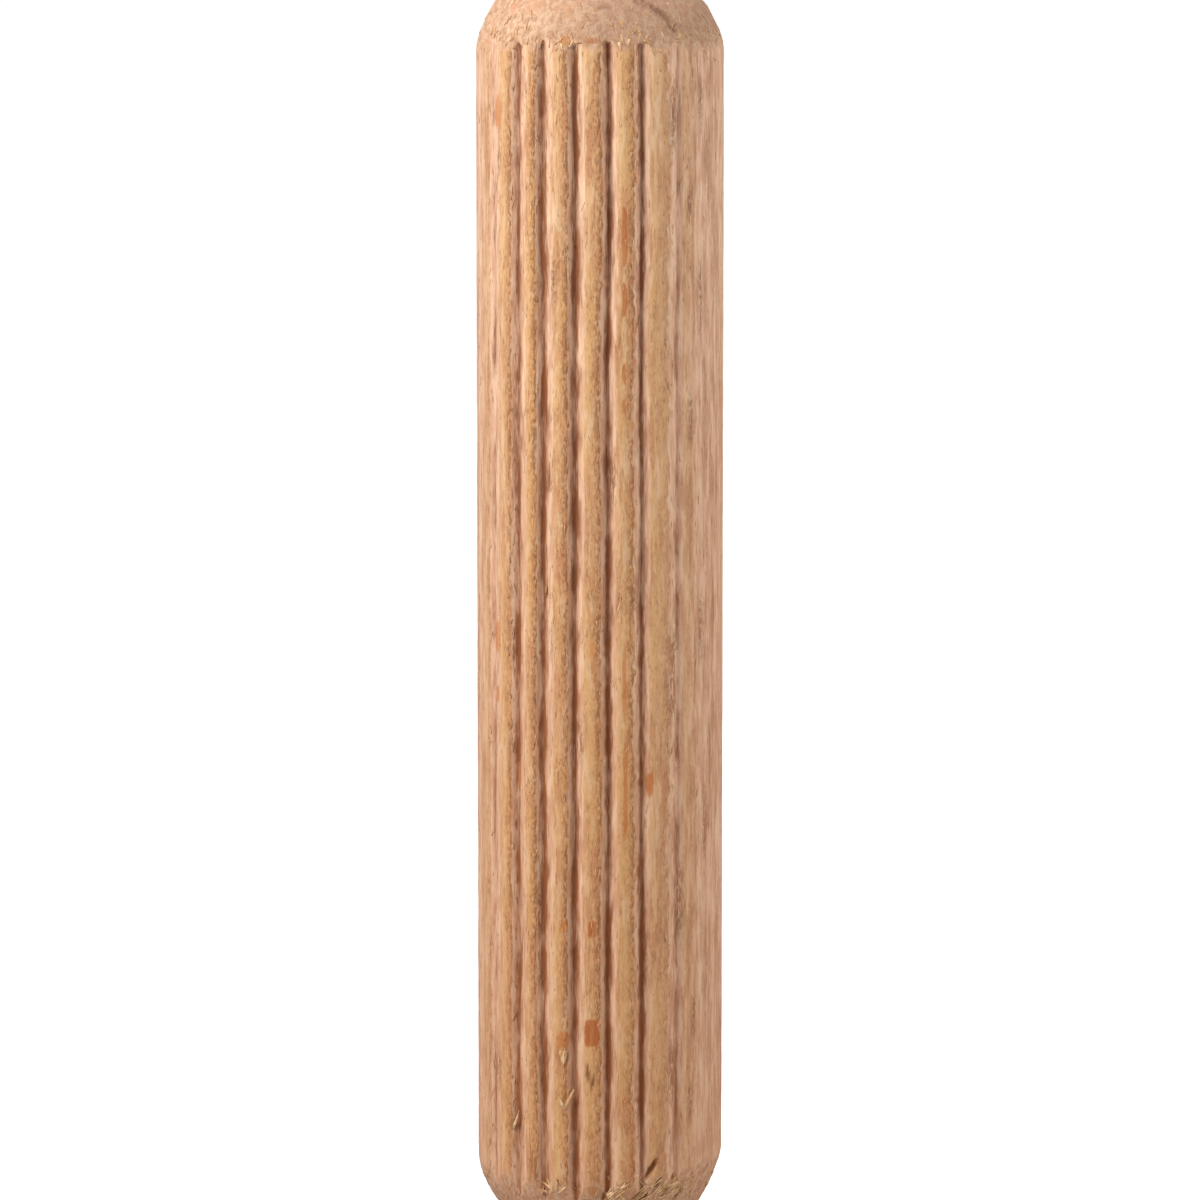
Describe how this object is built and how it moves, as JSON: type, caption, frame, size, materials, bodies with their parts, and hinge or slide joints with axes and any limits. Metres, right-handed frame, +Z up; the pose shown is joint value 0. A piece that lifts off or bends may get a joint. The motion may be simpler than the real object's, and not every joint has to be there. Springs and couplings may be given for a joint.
{
  "type": "wooden dowel pin",
  "caption": "Fluted round wooden dowel pin with rounded-over ends, glued into two facing holes to align and join boards.",
  "frame": {"origin": "centre of the lower end face, where the pin stands", "axes": "+Z up the pin's axis; the front faces -Y, and the two plain sides, without flutes, face about +X and -X"},
  "size_m": [0.008, 0.008, 0.04],
  "materials": {
    "beech": "raw, unfinished, matt"
  },
  "bodies": {
    "root": {"dowel_pin": "beech"}
  },
  "joints": []
}
